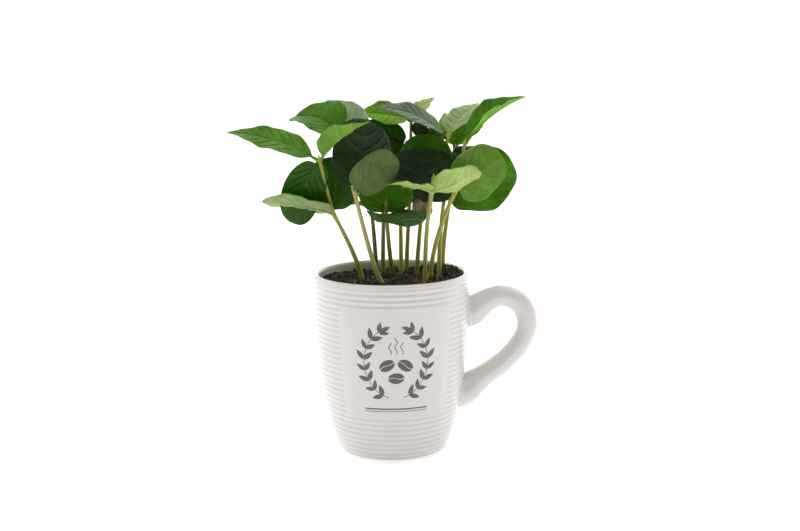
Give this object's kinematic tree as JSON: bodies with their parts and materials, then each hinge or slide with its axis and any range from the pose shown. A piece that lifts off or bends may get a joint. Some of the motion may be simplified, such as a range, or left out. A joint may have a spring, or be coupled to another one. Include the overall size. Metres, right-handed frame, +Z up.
{
  "type": "potted coffee plant",
  "caption": "Young coffee seedlings with round first leaves and pointed true leaves, growing in soil in a large ribbed white ceramic mug with an ear handle.",
  "frame": {"origin": "centre of the mug's flat underside", "axes": "+Z up; +X towards the mug's handle; -Y out of the mug's plain front panel"},
  "size_m": [0.1803, 0.133, 0.206],
  "materials": {
    "ceramic": "glossy white glaze",
    "soil": "damp dark peat with bark crumbs",
    "stem": "soft green, slightly glossy",
    "leaf": "glossy upper face, matte pale underside"
  },
  "bodies": {
    "root": {"mug_body": "ceramic", "mug_handle": "ceramic", "soil": "soil", "stem_left_front": "stem", "stem_left_middle": "stem", "stem_back_left": "stem", "stem_middle_left": "stem", "stem_middle_front": "stem", "stem_middle": "stem", "stem_middle_back": "stem", "stem_right_middle": "stem", "stem_right_front": "stem", "stem_right": "stem", "stem_right_back": "stem", "stem_back_right": "stem", "leaves_left_front": "leaf", "leaves_left_middle": "leaf", "leaves_back_left": "leaf", "leaves_middle_left": "leaf", "leaves_middle_front": "leaf", "leaves_middle": "leaf", "leaves_middle_back": "leaf", "leaves_right_middle": "leaf", "leaves_right_front": "leaf", "leaves_right": "leaf", "leaves_right_back": "leaf", "leaves_back_right": "leaf"}
  },
  "joints": []
}
